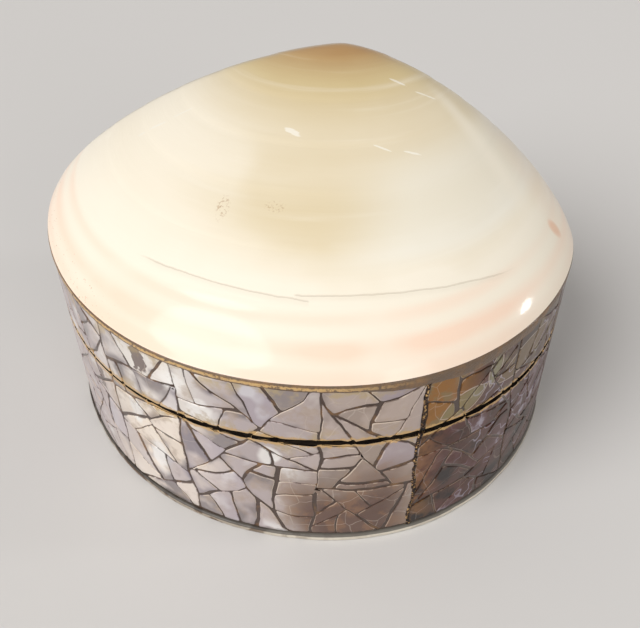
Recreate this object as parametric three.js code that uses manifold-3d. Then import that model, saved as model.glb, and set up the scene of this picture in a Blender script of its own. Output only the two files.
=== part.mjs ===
// A shell jewelry box: one polished clam valve as the domed lid, over a wall of
// mother-of-pearl shards that was laid as one mosaic and then sawn open at the seam.
// Millimetres, +Z up, +X along the shell's length, +Y towards its beak at the back,
// origin on the table under the middle of the box.

import * as THREE from "three";
import { mergeVertices } from "three/addons/utils/BufferGeometryUtils.js";
import Module from "manifold-3d";

const wasm = await Module();
wasm.setup();

// Plan of the box, which is the shell's own outline
const LENGTH = 110;
const DEPTH = 95.6;
const QUARTER_FACETS = 12;

// Shares of the length and depth that draw the outline: where each extreme lies,
// and how far the curve runs straight on from it
const FRONT_X = 0.038;
const BEAK_X = 0.028;
const RIGHT_END_Y = -0.015;
const LEFT_END_Y = 0.088;
const FRONT_RUN_RIGHT = 0.337;
const FRONT_RUN_LEFT = 0.352;
const RIGHT_RUN_FRONT = 0.15;
const RIGHT_RUN_BACK = 0.3;
const BEAK_RUN_RIGHT = 0.13;
const BEAK_RUN_LEFT = 0.13;
const LEFT_RUN_BACK = 0.165;
const LEFT_RUN_FRONT = 0.235;

// Heights, from the table up
const BASE_THICKNESS = 1.6;
const SEAM_HEIGHT = 30;
const SEAM_GAP = 0.4;
const LID_WALL_HEIGHT = 12.9;
const RESIN_THICKNESS = 0.8;
const VALVE_RISE = 26.1;
const FIT_GAP = 0.3;

// Thicknesses, from the outside in
const MOSAIC_THICKNESS = 1.2;
const WALL_THICKNESS = 3;
const BASE_OVERHANG = 0.4;
const RESIN_INSET = 0.3;
const RESIN_WIDTH = 3.6;
const VALVE_THICKNESS = 2.2;

// The tray's inner lip, which keeps the lift-off lid in place
const LIP_THICKNESS = 1.2;
const LIP_HEIGHT = 2.2;
const LIP_CLEARANCE = 0.4;

// The valve's dome, its umbo and its beak, as shares of the plan
const UMBO_X = 0.052;
const UMBO_Y = 0.259;
const DOME_FULLNESS = 1.8;
const DOME_SHOULDER = 0.76;
const BEAK_INSET = 5.4;
const GROWTH_LINES = 7;
const GROWTH_BUNCHING = 0.72;
const GROWTH_STEP = 0.3;
const GROWTH_STEP_WIDTH = 0.014;
const INSIDE_RINGS = 6;

// The mosaic: leaves of shell between upright joints, each cracked into shards
const LEAF_WIDTH = 21;
const LEAF_JITTER = 0.15;
const DARK_JOINT_AT = 23.6;
const DARK_JOINT_LEAN = 1.6;
const SHARD_AREA = 300;
const CRACK_TILT = 0.75;
const CRACK_OFFSET = 0.16;
const CRACK_FINER = 0.86;
const JOINT_WIDTH = 0.9;
const JOINT_DEPTH = 0.6;
const JOINT_OVERRUN = 0.15;
const CORNER_SHARE = 0.002;
const CRACK_SEED = 20011;

const SHELL_IVORY = new THREE.MeshStandardMaterial({ color: 0xefe4d2, roughness: 0.2, metalness: 0 });
const PEARL_GREY = new THREE.MeshStandardMaterial({ color: 0xa8a2a8, roughness: 0.25, metalness: 0 });
const CREAM_RESIN = new THREE.MeshStandardMaterial({ color: 0xcbb68c, roughness: 0.5, metalness: 0 });
const BROWN_RESIN = new THREE.MeshStandardMaterial({ color: 0x6f522c, roughness: 0.35, metalness: 0 });
const BASE_PEARL = new THREE.MeshStandardMaterial({ color: 0xd2ccc0, roughness: 0.35, metalness: 0 });

// The outline, once round from the front, with the box seen from above

function outlinePath() {
  const right = new THREE.Vector2(LENGTH / 2, RIGHT_END_Y * DEPTH);
  const beak = new THREE.Vector2(BEAK_X * LENGTH, DEPTH / 2);
  const left = new THREE.Vector2(-LENGTH / 2, LEFT_END_Y * DEPTH);
  const front = new THREE.Vector2(FRONT_X * LENGTH, -DEPTH / 2);
  const path = new THREE.Path();
  path.moveTo(front.x, front.y);
  path.bezierCurveTo(
    front.x + FRONT_RUN_RIGHT * LENGTH, front.y,
    right.x, right.y - RIGHT_RUN_FRONT * DEPTH,
    right.x, right.y,
  );
  path.bezierCurveTo(
    right.x, right.y + RIGHT_RUN_BACK * DEPTH,
    beak.x + BEAK_RUN_RIGHT * LENGTH, beak.y,
    beak.x, beak.y,
  );
  path.bezierCurveTo(
    beak.x - BEAK_RUN_LEFT * LENGTH, beak.y,
    left.x, left.y + LEFT_RUN_BACK * DEPTH,
    left.x, left.y,
  );
  path.bezierCurveTo(
    left.x, left.y - LEFT_RUN_FRONT * DEPTH,
    front.x - FRONT_RUN_LEFT * LENGTH, front.y,
    front.x, front.y,
  );
  return path;
}

const OUTLINE = outlinePath().curves.flatMap(
  (quarter) => quarter.getSpacedPoints(QUARTER_FACETS).slice(0, QUARTER_FACETS),
);
const FACETS = OUTLINE.length;

// Outward direction at each corner of the outline
const OUTWARD = OUTLINE.map((_, i) => {
  const before = OUTLINE[(i + FACETS - 1) % FACETS];
  const after = OUTLINE[(i + 1) % FACETS];
  const along = after.clone().sub(before).normalize();
  return new THREE.Vector2(along.y, -along.x);
});

function insetOutline(inset) {
  return OUTLINE.map((point, i) => point.clone().addScaledVector(OUTWARD[i], -inset));
}

// Closed meshes in and out of the library that cuts and joins them

function toSolid(geometry) {
  const bare = geometry.index ? geometry.clone() : geometry;
  bare.deleteAttribute("normal");
  bare.deleteAttribute("uv");
  const merged = mergeVertices(bare);
  const vertProperties = new Float32Array(merged.attributes.position.array);
  const triVerts = new Uint32Array(merged.index.array);
  return new wasm.Manifold(new wasm.Mesh({ numProp: 3, vertProperties, triVerts }));
}

function toGeometry(solid) {
  const mesh = solid.getMesh();
  const geometry = new THREE.BufferGeometry();
  geometry.setAttribute("position", new THREE.BufferAttribute(mesh.vertProperties, mesh.numProp));
  geometry.setIndex(new THREE.BufferAttribute(mesh.triVerts, 1));
  return geometry;
}

// A closed skin from ring to ring, with a point at either end
function skin(firstPoint, rings, lastPoint) {
  const count = rings[0].length;
  const points = [firstPoint, ...rings.flat(), lastPoint];
  const last = points.length - 1;
  const faces = [];
  for (let i = 0; i < count; i += 1) {
    const next = (i + 1) % count;
    faces.push(0, 1 + i, 1 + next);
    for (let r = 0; r + 1 < rings.length; r += 1) {
      const here = 1 + r * count;
      const below = here + count;
      faces.push(here + i, below + i, below + next);
      faces.push(here + i, below + next, here + next);
    }
    faces.push(last - count + i, last, last - count + next);
  }
  const geometry = new THREE.BufferGeometry().setFromPoints(points);
  geometry.setIndex(faces);
  return geometry;
}

// A slab or a ring with the outline's shape, from one height to another

function slab(inset, bottom, top) {
  const shape = new THREE.Shape(insetOutline(inset));
  const geometry = new THREE.ExtrudeGeometry(shape, { depth: top - bottom, bevelEnabled: false });
  return geometry.translate(0, 0, bottom);
}

function ring(outerInset, innerInset, bottom, top) {
  const shape = new THREE.Shape(insetOutline(outerInset));
  shape.holes.push(new THREE.Path(insetOutline(innerInset)));
  const geometry = new THREE.ExtrudeGeometry(shape, { depth: top - bottom, bevelEnabled: false });
  return geometry.translate(0, 0, bottom);
}

// Heights and insets that several pieces share

const WALL_BOTTOM = BASE_THICKNESS + FIT_GAP;
const LID_BOTTOM = SEAM_HEIGHT + SEAM_GAP;
const LID_WALL_TOP = LID_BOTTOM + LID_WALL_HEIGHT;
const RESIN_BOTTOM = LID_WALL_TOP + FIT_GAP;
const MARGIN_HEIGHT = RESIN_BOTTOM + RESIN_THICKNESS + FIT_GAP;
const WALL_OUTER = MOSAIC_THICKNESS + FIT_GAP;
const WALL_INNER = WALL_OUTER + WALL_THICKNESS;
const LIP_OUTER = WALL_INNER - LIP_THICKNESS;

// The tray's wall with its lip, and the lid's wall with the rebate that the lip enters

function trayWall() {
  const wall = toSolid(ring(WALL_OUTER, WALL_INNER, WALL_BOTTOM, SEAM_HEIGHT));
  const lip = toSolid(ring(LIP_OUTER, WALL_INNER, WALL_BOTTOM, SEAM_HEIGHT + LIP_HEIGHT));
  return toGeometry(wall.add(lip));
}

function lidWall() {
  const wall = toSolid(ring(WALL_OUTER, WALL_INNER, LID_BOTTOM, LID_WALL_TOP));
  const rebateOuter = LIP_OUTER - LIP_CLEARANCE;
  const rebateInner = WALL_INNER + LIP_CLEARANCE;
  const rebateTop = SEAM_HEIGHT + LIP_HEIGHT + LIP_CLEARANCE;
  const rebate = toSolid(ring(rebateOuter, rebateInner, LID_BOTTOM - LIP_CLEARANCE, rebateTop));
  return toGeometry(wall.subtract(rebate));
}

// Random numbers that come out alike in every run

function randomNumbers(seed) {
  const MODULUS = 2147483647;
  const FACTOR = 48271;
  let state = seed;
  return () => {
    state = (state * FACTOR) % MODULUS;
    return state / MODULUS;
  };
}

// A random amount to either side of nought
function eitherWay(random, reach) {
  return (2 * random() - 1) * reach;
}

// The crack pattern, on the wall unrolled: x runs round it from the front towards +X,
// y is the height

const CORNER_AT = [0];
OUTLINE.forEach((point, i) => {
  CORNER_AT.push(CORNER_AT[i] + point.distanceTo(OUTLINE[(i + 1) % FACETS]));
});
const WALL_ROUND = CORNER_AT[FACETS];

function area(shard) {
  const sum = shard.reduce((total, point, i) => {
    const next = shard[(i + 1) % shard.length];
    return total + point.x * next.y - next.x * point.y;
  }, 0);
  return Math.abs(sum) / 2;
}

function middle(shard) {
  const sum = shard.reduce((total, point) => total.add(point), new THREE.Vector2());
  return sum.divideScalar(shard.length);
}

function longestWay(shard) {
  let longest = new THREE.Vector2();
  shard.forEach((a) => {
    shard.forEach((b) => {
      const way = b.clone().sub(a);
      if (way.x >= 0 && way.length() > longest.length()) {
        longest = way;
      }
    });
  });
  return longest;
}

// Cuts a shard in two along a line and gives both halves with the crack between them
function crackAcross(shard, through, way) {
  const side = (point) => way.cross(point.clone().sub(through));
  const halves = [[], []];
  const crack = [];
  shard.forEach((point, i) => {
    const next = shard[(i + 1) % shard.length];
    const here = side(point);
    const there = side(next);
    halves[here > 0 ? 0 : 1].push(point);
    if (here > 0 !== there > 0) {
      const crossing = point.clone().lerp(next, here / (here - there));
      halves[0].push(crossing);
      halves[1].push(crossing);
      crack.push(crossing);
    }
  });
  return { halves, crack };
}

function crackPattern(bottom, top) {
  const random = randomNumbers(CRACK_SEED);
  const leafCount = Math.round(WALL_ROUND / LEAF_WIDTH);
  const pitch = WALL_ROUND / leafCount;
  const joints = [];
  for (let i = 0; i < leafCount; i += 1) {
    const shift = eitherWay(random, LEAF_JITTER * pitch);
    const lean = eitherWay(random, LEAF_JITTER * pitch);
    const first = i === 0;
    joints.push({
      at: DARK_JOINT_AT + i * pitch + (first ? 0 : shift),
      lean: first ? DARK_JOINT_LEAN : lean,
    });
  }
  const cracks = [];
  let shards = [];
  joints.forEach((joint, i) => {
    const next = joints[(i + 1) % leafCount];
    const turn = i === leafCount - 1 ? WALL_ROUND : 0;
    cracks.push({
      from: new THREE.Vector2(joint.at - joint.lean / 2, bottom),
      to: new THREE.Vector2(joint.at + joint.lean / 2, top),
      fineness: 1,
    });
    shards.push([
      new THREE.Vector2(joint.at - joint.lean / 2, bottom),
      new THREE.Vector2(next.at + turn - next.lean / 2, bottom),
      new THREE.Vector2(next.at + turn + next.lean / 2, top),
      new THREE.Vector2(joint.at + joint.lean / 2, top),
    ]);
  });
  let fineness = 1;
  while (shards.length > 0) {
    const smaller = [];
    fineness *= CRACK_FINER;
    shards.filter((shard) => area(shard) > SHARD_AREA).forEach((shard) => {
      const long = longestWay(shard);
      const tilt = Math.PI / 2 + eitherWay(random, CRACK_TILT);
      const through = middle(shard).addScaledVector(long, eitherWay(random, CRACK_OFFSET));
      const way = long.clone().normalize().rotateAround(new THREE.Vector2(), tilt);
      const { halves, crack } = crackAcross(shard, through, way);
      cracks.push({ from: crack[0], to: crack[1], fineness });
      smaller.push(...halves);
    });
    shards = smaller;
  }
  return cracks;
}

// A place on the unrolled wall, as a point of the outer face with its outward direction
function onWall(place) {
  const at = (place.x + WALL_ROUND) % WALL_ROUND;
  const facet = CORNER_AT.findLastIndex((corner) => corner <= at);
  const from = OUTLINE[facet];
  const to = OUTLINE[(facet + 1) % FACETS];
  const share = (at - CORNER_AT[facet]) / from.distanceTo(to);
  const point = from.clone().lerp(to, share);
  const edge = to.clone().sub(from).normalize();
  let out = new THREE.Vector2(edge.y, -edge.x);
  if (share < CORNER_SHARE) {
    out = OUTWARD[facet];
  } else if (share > 1 - CORNER_SHARE) {
    out = OUTWARD[(facet + 1) % FACETS];
  }
  return {
    point: new THREE.Vector3(point.x, point.y, place.y),
    out: new THREE.Vector3(out.x, out.y, 0),
  };
}

// Where a crack bends: its ends, and each corner of the wall that it crosses
function crackStations(from, to) {
  const crossed = [-WALL_ROUND, 0, WALL_ROUND]
    .flatMap((turn) => CORNER_AT.slice(0, FACETS).map((at) => (at + turn - from.x) / (to.x - from.x)))
    .filter((share) => share > CORNER_SHARE && share < 1 - CORNER_SHARE);
  const shares = [0, ...crossed, 1].sort((a, b) => a - b);
  return shares.map((share) => from.clone().lerp(to, share));
}

// A cutter with a V section, which follows the wall and leaves one joint in its face,
// shallower than the earlier joints that it runs up to
function jointCutter(crack) {
  const way = crack.to.clone().sub(crack.from).normalize();
  const from = crack.from.clone().addScaledVector(way, -JOINT_OVERRUN);
  const to = crack.to.clone().addScaledVector(way, JOINT_OVERRUN);
  const depth = JOINT_DEPTH * crack.fineness;
  const width = JOINT_WIDTH * crack.fineness;
  const sections = crackStations(from, to).map((place) => {
    const { point, out } = onWall(place);
    const side = new THREE.Vector3(-out.y, out.x, 0).multiplyScalar(way.y);
    side.z = -way.x;
    const lifted = point.clone().addScaledVector(out, depth);
    return [
      point.clone().addScaledVector(out, -depth),
      lifted.clone().addScaledVector(side, width),
      lifted.clone().addScaledVector(side, -width),
    ];
  });
  const ends = [sections[0], sections[sections.length - 1]].map(
    (section) => section[0].clone().add(section[1]).add(section[2]).divideScalar(section.length),
  );
  return skin(ends[0], sections, ends[1]);
}

// One mosaic over the whole wall, sawn open at the seam, so that the joints run on across it

const JOINTS = crackPattern(WALL_BOTTOM, LID_WALL_TOP).map((crack) => toSolid(jointCutter(crack)));

function mosaic(bottom, top) {
  const uncut = toSolid(ring(0, MOSAIC_THICKNESS, bottom, top));
  return toGeometry(JOINTS.reduce((solid, cutter) => solid.subtract(cutter), uncut));
}

// The valve: a dome over the outline, ringed by growth lines that are copies of the margin
// shrunk towards the beak

const UMBO = new THREE.Vector2(UMBO_X * LENGTH, UMBO_Y * DEPTH);
const BEAK = new THREE.Vector2(BEAK_X * LENGTH, DEPTH / 2 - BEAK_INSET);

// How far the margin lies from the umbo, in the direction of a point
function marginReach(margin, point) {
  const way = point.clone().sub(UMBO);
  if (way.length() === 0) {
    return 1;
  }
  way.normalize();
  let reach = 0;
  margin.forEach((corner, i) => {
    const edge = margin[(i + 1) % margin.length].clone().sub(corner);
    const offset = corner.clone().sub(UMBO);
    const det = way.cross(edge);
    const share = way.cross(offset) / -det;
    const distance = offset.cross(edge) / det;
    if (distance > 0 && share >= 0 && share <= 1) {
      reach = Math.max(reach, distance);
    }
  });
  return reach;
}

function domeHeight(margin, rise, point) {
  const share = point.distanceTo(UMBO) / marginReach(margin, point);
  return rise * Math.max(0, 1 - share ** DOME_FULLNESS) ** DOME_SHOULDER;
}

// One ring of the dome, at its share of the way from the beak to the margin, pulled in
// by a sink that is less where the margin runs close to the beak
function domeRing(margin, rise, share, sink) {
  const core = new THREE.Vector3(UMBO.x, UMBO.y, 0);
  return margin.map((corner) => {
    const plan = BEAK.clone().lerp(corner, share);
    const height = share === 1 ? 0 : domeHeight(margin, rise, plan);
    const point = new THREE.Vector3(plan.x, plan.y, height);
    const local = (sink * corner.distanceTo(BEAK)) / DEPTH;
    return point.lerp(core, local / point.distanceTo(core));
  });
}

function shellValve() {
  const rings = [];
  let inner = 0;
  for (let k = 1; k <= GROWTH_LINES; k += 1) {
    const outer = (k / GROWTH_LINES) ** GROWTH_BUNCHING;
    const start = inner + GROWTH_STEP_WIDTH;
    rings.push(domeRing(OUTLINE, VALVE_RISE, start, k === 1 ? 0 : GROWTH_STEP));
    rings.push(domeRing(OUTLINE, VALVE_RISE, (start + outer) / 2, GROWTH_STEP / 2));
    rings.push(domeRing(OUTLINE, VALVE_RISE, outer, 0));
    inner = outer;
  }
  const hollow = insetOutline(VALVE_THICKNESS);
  const hollowRise = VALVE_RISE - VALVE_THICKNESS;
  for (let k = INSIDE_RINGS; k >= 1; k -= 1) {
    rings.push(domeRing(hollow, hollowRise, (k / INSIDE_RINGS) ** GROWTH_BUNCHING, 0));
  }
  const top = new THREE.Vector3(BEAK.x, BEAK.y, domeHeight(OUTLINE, VALVE_RISE, BEAK));
  const inside = new THREE.Vector3(BEAK.x, BEAK.y, domeHeight(hollow, hollowRise, BEAK));
  return skin(top, rings, inside).translate(0, 0, MARGIN_HEIGHT);
}

const box = new THREE.Group();

function addPiece(name, geometry, material) {
  const piece = new THREE.Mesh(geometry, material);
  piece.name = name;
  box.add(piece);
}

addPiece("base_plate", slab(-BASE_OVERHANG, 0, BASE_THICKNESS), BASE_PEARL);
addPiece("tray_wall", trayWall(), CREAM_RESIN);
addPiece("tray_mosaic", mosaic(WALL_BOTTOM, SEAM_HEIGHT), PEARL_GREY);
addPiece("lid_wall", lidWall(), CREAM_RESIN);
addPiece("lid_mosaic", mosaic(LID_BOTTOM, LID_WALL_TOP), PEARL_GREY);
addPiece(
  "bedding_resin",
  ring(RESIN_INSET, RESIN_INSET + RESIN_WIDTH, RESIN_BOTTOM, RESIN_BOTTOM + RESIN_THICKNESS),
  BROWN_RESIN,
);
addPiece("shell_valve", shellValve(), SHELL_IVORY);

export default box;
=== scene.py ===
"""A shell jewelry box: a polished clam valve over a wall of mother-of-pearl shards."""

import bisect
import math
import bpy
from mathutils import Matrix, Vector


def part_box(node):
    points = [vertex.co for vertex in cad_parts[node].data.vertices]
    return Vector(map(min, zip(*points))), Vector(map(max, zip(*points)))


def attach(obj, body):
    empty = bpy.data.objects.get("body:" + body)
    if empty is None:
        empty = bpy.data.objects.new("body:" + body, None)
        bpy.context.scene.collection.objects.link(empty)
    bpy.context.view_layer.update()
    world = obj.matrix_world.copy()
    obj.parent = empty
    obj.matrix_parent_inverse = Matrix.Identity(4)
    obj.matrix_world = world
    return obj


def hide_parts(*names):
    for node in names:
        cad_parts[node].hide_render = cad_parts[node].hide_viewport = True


bl_info = {
    "name": "Shell Jewelry Box",
    "version": (1, 0, 0),
    "blender": (4, 5, 0),
    "location": "3D Viewport > Sidebar > Shell Box",
    "description": "Finishes a jewelry box with a valve lid and a mosaic of shell shards",
    "category": "Object",
}

import bpy
from bpy.props import FloatProperty, FloatVectorProperty, PointerProperty
from mathutils import Matrix, Vector, geometry, noise

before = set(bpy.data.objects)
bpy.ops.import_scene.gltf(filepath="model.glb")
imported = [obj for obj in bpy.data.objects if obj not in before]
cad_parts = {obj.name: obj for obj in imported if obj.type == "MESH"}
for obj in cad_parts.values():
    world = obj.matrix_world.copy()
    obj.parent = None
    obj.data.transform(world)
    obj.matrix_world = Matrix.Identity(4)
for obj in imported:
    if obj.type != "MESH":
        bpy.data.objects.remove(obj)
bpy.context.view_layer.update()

MM = 0.001

# Shares of the length and depth that draw the outline, as in the CAD model
FRONT_X = 0.038
BEAK_X = 0.028
RIGHT_END_Y = -0.015
LEFT_END_Y = 0.088
FRONT_RUN_RIGHT = 0.337
FRONT_RUN_LEFT = 0.352
RIGHT_RUN_FRONT = 0.15
RIGHT_RUN_BACK = 0.3
BEAK_RUN_RIGHT = 0.13
BEAK_RUN_LEFT = 0.13
LEFT_RUN_BACK = 0.165
LEFT_RUN_FRONT = 0.235
QUARTER_STEPS = 240

# The valve's dome, as in the CAD model
UMBO_X = 0.052
UMBO_Y = 0.259
DOME_FULLNESS = 1.8
DOME_SHOULDER = 0.76
BEAK_INSET = 5.4 * MM
GROWTH_LINES = 7
GROWTH_BUNCHING = 0.72
VALVE_THICKNESS = 2.2 * MM

# The crack pattern, in millimetres on the unrolled wall, as in the CAD model
LEAF_WIDTH = 21
LEAF_JITTER = 0.15
DARK_JOINT_AT = 23.6
DARK_JOINT_LEAN = 1.6
COARSE_AREA = 300
CRACK_TILT = 0.75
CRACK_OFFSET = 0.16
CRACK_SEED = 20011

# Vector noise takes its seed from the clock unless it is set, and every run must come out alike
noise.seed_set(CRACK_SEED)

# Half the dark joint, and how far in from its border a shard's painted shade reaches, in mm
DARK_JOINT_HALF = 0.52
BORDER_REACH = 1.5

# The seam's lips: even wear, rough chips, and how far from the seam both fade out
SEAM_WEAR = 0.1 * MM
SEAM_CHIP = 0.33 * MM
SEAM_FADE = 1.5 * MM

# The UV maps that carry a shard's own numbers, its place on the wall and its edge
SHARD_LAYERS = ("shard", "shard_turn", "wall", "shard_edge")

# The smallest shard that is kept, in square millimetres
SMALLEST_SHARD = 1.5

# How far in the bead reaches, and how far its smear runs down over the lid's wall in mm
BEAD_REACH = 3.9 * MM
SMEAR_DROP = 1.3

# How finely the pieces are made
SHARD_STEP = 1.6 * MM
CRUMB_STEP = 0.35 * MM
VALVE_SEGMENTS = 224
VALVE_RINGS = 150
INSIDE_RINGS = 40
ROUND_STEPS = 288

# Places that the frame gives
MOSAIC_LOW, MOSAIC_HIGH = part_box("lid_mosaic")
TRAY_LOW, TRAY_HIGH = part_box("tray_mosaic")
BASE_LOW, BASE_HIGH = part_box("base_plate")
LENGTH = MOSAIC_HIGH.x - MOSAIC_LOW.x
DEPTH = MOSAIC_HIGH.y - MOSAIC_LOW.y
MARGIN_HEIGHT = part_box("shell_valve")[0].z
SEAM_MIDDLE = (TRAY_HIGH.z + MOSAIC_LOW.z) / 2 / MM
WALL_MIDDLE = (TRAY_LOW.z + MOSAIC_HIGH.z) / 2 / MM
WALL_HEIGHT = (MOSAIC_HIGH.z - TRAY_LOW.z) / MM
VALVE_RISE = 26.1 * MM
UMBO = Vector((UMBO_X * LENGTH, UMBO_Y * DEPTH))
BEAK = Vector((BEAK_X * LENGTH, DEPTH / 2 - BEAK_INSET))

# The lid's mosaic, stretched over its upper part, and the valve's margin stand a little
# higher here than in the CAD model
LID_TOP = MOSAIC_HIGH.z + 0.35 * MM
LID_STRETCH = 4 * MM
LIP_LIFT = 0.3 * MM


class Outline:
    """The box's plan, walked by distance from its front point towards +X."""

    def __init__(self):
        right = Vector((LENGTH / 2, RIGHT_END_Y * DEPTH))
        beak = Vector((BEAK_X * LENGTH, DEPTH / 2))
        left = Vector((-LENGTH / 2, LEFT_END_Y * DEPTH))
        front = Vector((FRONT_X * LENGTH, -DEPTH / 2))
        across = Vector((LENGTH, 0))
        back = Vector((0, DEPTH))
        quarters = (
            (front, front + across * FRONT_RUN_RIGHT, right - back * RIGHT_RUN_FRONT, right),
            (right, right + back * RIGHT_RUN_BACK, beak + across * BEAK_RUN_RIGHT, beak),
            (beak, beak - across * BEAK_RUN_LEFT, left + back * LEFT_RUN_BACK, left),
            (left, left - back * LEFT_RUN_FRONT, front - across * FRONT_RUN_LEFT, front),
        )
        self.points = []
        for quarter in quarters:
            self.points += geometry.interpolate_bezier(*quarter, QUARTER_STEPS + 1)[:-1]
        count = len(self.points)
        self.outward = []
        self.marks = [0.0]
        for i, point in enumerate(self.points):
            after = self.points[(i + 1) % count]
            along = (after - self.points[i - 1]).normalized()
            self.outward.append(Vector((along.y, -along.x)))
            self.marks.append(self.marks[-1] + (after - point).length)
        self.round = self.marks[-1]

    def at(self, distance):
        """The outline's point at a distance round it, and the outward direction there."""
        distance %= self.round
        i = bisect.bisect_right(self.marks, distance) - 1
        i = min(i, len(self.points) - 1)
        after = (i + 1) % len(self.points)
        share = (distance - self.marks[i]) / (self.marks[i + 1] - self.marks[i])
        point = self.points[i].lerp(self.points[after], share)
        return point, self.outward[i].lerp(self.outward[after], share).normalized()


OUTLINE = Outline()


def on_wall(distance, inset, height):
    """A point of the wall from its place on the unrolled wall."""
    point, out = OUTLINE.at(distance)
    place = point - out * inset
    return Vector((place.x, place.y, height))


# Modelling and finishing


def start_fresh():
    """Leaves edit mode and deselects everything, because operators act on what is selected."""
    if bpy.context.object and bpy.context.object.mode != "OBJECT":
        bpy.ops.object.mode_set(mode="OBJECT")
    bpy.ops.object.select_all(action="DESELECT")


def edit_all():
    """Enters edit mode with the whole mesh selected."""
    bpy.ops.object.mode_set(mode="EDIT")
    bpy.ops.mesh.select_all(action="SELECT")


def recalculate_normals():
    edit_all()
    bpy.ops.mesh.normals_make_consistent(inside=False)
    bpy.ops.object.mode_set(mode="OBJECT")


def finish_piece(piece, name, material, smooth=30):
    """Names a piece, gives it its finish and body, and smooths its gentle edges."""
    piece.name = name
    piece.data.name = name
    piece.data.materials.clear()
    piece.data.materials.append(material)
    start_fresh()
    piece.select_set(True)
    bpy.context.view_layer.objects.active = piece
    bpy.ops.object.shade_smooth_by_angle(angle=math.radians(smooth))
    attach(piece, "root")
    return piece


def swept_ring(profile, hollow):
    """A circle drawn through a profile of (inset, height) pairs and wrapped round the outline.

    The profile is a list, or a function of the distance round. A hollow ring closes on
    itself, and any other is capped above and below."""
    heights = profile if isinstance(profile, list) else profile(0)
    start_fresh()
    bpy.ops.mesh.primitive_circle_add(vertices=ROUND_STEPS, radius=1)
    ring = bpy.context.object
    bpy.ops.object.mode_set(mode="EDIT")
    bpy.ops.mesh.select_mode(type="EDGE")
    bpy.ops.mesh.select_all(action="SELECT")
    for _ in heights[1:]:
        bpy.ops.mesh.extrude_region_move(TRANSFORM_OT_translate={"value": (0, 0, 1)})
    bpy.ops.object.mode_set(mode="OBJECT")
    for vertex in ring.data.vertices:
        distance = math.atan2(vertex.co.y, vertex.co.x) / math.tau * OUTLINE.round
        section = profile if isinstance(profile, list) else profile(distance)
        inset, height = section[round(vertex.co.z)]
        vertex.co = on_wall(distance, inset, height)
    bpy.ops.object.mode_set(mode="EDIT")
    bpy.ops.mesh.select_all(action="DESELECT")
    bpy.ops.mesh.select_non_manifold()
    if hollow:
        bpy.ops.mesh.bridge_edge_loops()
    else:
        bpy.ops.mesh.edge_face_add()
    bpy.ops.object.mode_set(mode="OBJECT")
    return ring


# Shader maths


class Signal:
    """A socket that Python's operators turn into Math nodes."""

    def __init__(self, shader, socket):
        self.shader = shader
        self.socket = socket

    def maths(self, operation, *others):
        inputs = {i: value for i, value in enumerate((self, *others))}
        return self.shader.add("ShaderNodeMath", {"operation": operation}, inputs)

    def __add__(self, other):
        return self.maths("ADD", other)

    __radd__ = __add__

    def __mul__(self, other):
        return self.maths("MULTIPLY", other)

    __rmul__ = __mul__

    def __sub__(self, other):
        return self.maths("SUBTRACT", other)

    def __rsub__(self, other):
        return self.maths("MULTIPLY_ADD", -1.0, other)

    def __truediv__(self, other):
        return self.maths("DIVIDE", other)

    def __abs__(self):
        return self.maths("ABSOLUTE")

    def __pow__(self, other):
        return self.maths("POWER", other)

    def squared(self):
        return self * self

    def lowest(self, other):
        return self.maths("MINIMUM", other)

    def highest(self, other):
        return self.maths("MAXIMUM", other)

    def step(self, low, high):
        """Rises smoothly from 0 at low to 1 at high, or falls where low is the greater."""
        settings = {"interpolation_type": "SMOOTHSTEP"}
        flip = low > high
        if flip:
            low, high = high, low
        inputs = {"Value": self, "From Min": low, "From Max": high}
        rise = self.shader.add("ShaderNodeMapRange", settings, inputs)
        return 1 - rise if flip else rise

    def between(self, start, full, still_full, end):
        """Rises from start to full, and falls from still_full to end."""
        return self.step(start, full) * self.step(end, still_full)


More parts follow.
